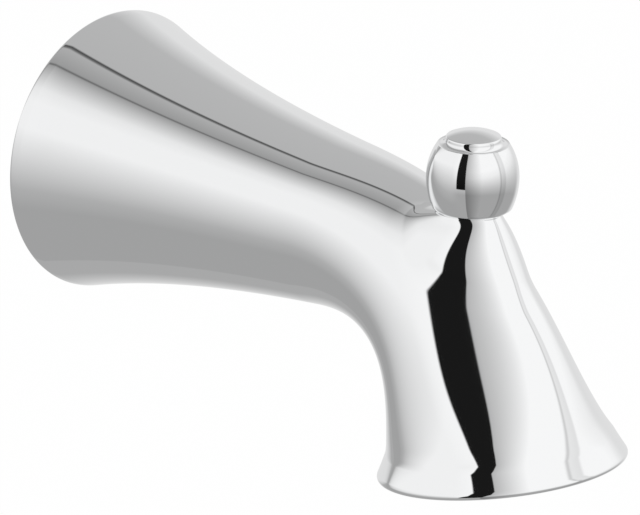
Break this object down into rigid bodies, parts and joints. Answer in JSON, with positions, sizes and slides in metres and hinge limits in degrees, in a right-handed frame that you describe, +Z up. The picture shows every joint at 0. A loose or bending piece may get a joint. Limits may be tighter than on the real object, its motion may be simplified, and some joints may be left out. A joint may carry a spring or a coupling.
{
  "type": "bath spout",
  "caption": "Chrome wall-mounted bath spout: a flared horn, a smooth elbow and a bell outlet, with a small lift-up diverter knob above the outlet.",
  "frame": {"origin": "centre of the pipe thread's mouth, in the plane of the wall rim's back", "axes": "+X out of the wall along the pipe, +Z up, XZ is the plane of symmetry"},
  "size_m": [0.1735, 0.0753, 0.0941],
  "materials": {
    "chrome_body": "mirror chrome plate",
    "chrome_knob": "mirror chrome plate",
    "tube_brass": "turned brass",
    "bush_brass": "turned brass",
    "rod_steel": "drawn stainless steel",
    "clip_steel": "spring steel",
    "ring_rubber": "black rubber",
    "seal_rubber": "black rubber",
    "gate_plastic": "white acetal",
    "gasket_foam": "closed-cell foam"
  },
  "bodies": {
    "spout": {"spout_body": "chrome_body", "waterway_tube": "tube_brass", "tube_o_ring": "ring_rubber", "wall_gasket": "gasket_foam", "rod_bush": "bush_brass", "rod_o_ring": "ring_rubber"},
    "diverter": {"diverter_knob": "chrome_knob", "lift_rod": "rod_steel", "diverter_gate": "gate_plastic", "gate_seal": "seal_rubber", "gate_clip": "clip_steel"}
  },
  "joints": [
    {"name": "diverter_lift", "type": "slide", "parent": "spout", "child": "diverter", "axis": [0, 0, 1], "range_m": [0, 0.013]}
  ]
}
